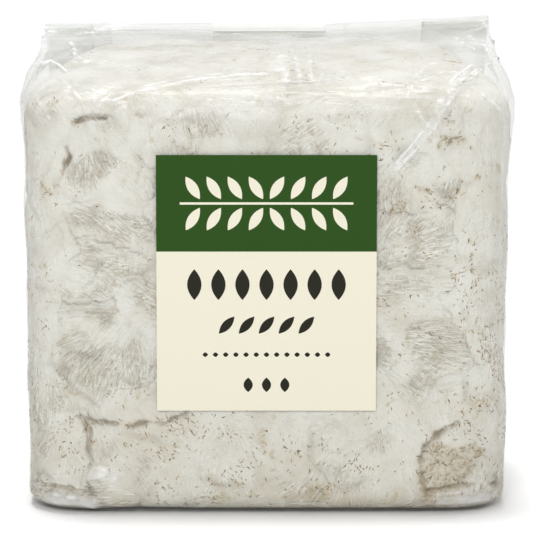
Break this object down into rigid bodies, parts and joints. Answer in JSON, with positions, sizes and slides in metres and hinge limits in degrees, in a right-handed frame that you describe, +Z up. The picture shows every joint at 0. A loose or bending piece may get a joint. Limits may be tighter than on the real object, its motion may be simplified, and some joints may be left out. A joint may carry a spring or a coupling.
{
  "type": "shiitake grow block",
  "caption": "Box-shaped sawdust block grown through with white mycelium, shut in a clear gusseted film bag folded over at the top, with a plain front label.",
  "frame": {"origin": "middle of the base, under the centre of the whole part's bounding box", "axes": "+Z up, -Y out of the face with the label, +X to the right seen from the front"},
  "size_m": [0.1974, 0.1316, 0.1926],
  "materials": {
    "mycelium": "white mycelium felt over moist sawdust, matte",
    "film": "clear thin film, glossy",
    "label_paper": "coated paper, cream field under a dark green band",
    "filter_cloth": "white pressed fibre, matte"
  },
  "bodies": {
    "root": {"mycelium_block": "mycelium", "bag": "film", "label": "label_paper", "filter_patch": "filter_cloth"}
  },
  "joints": []
}
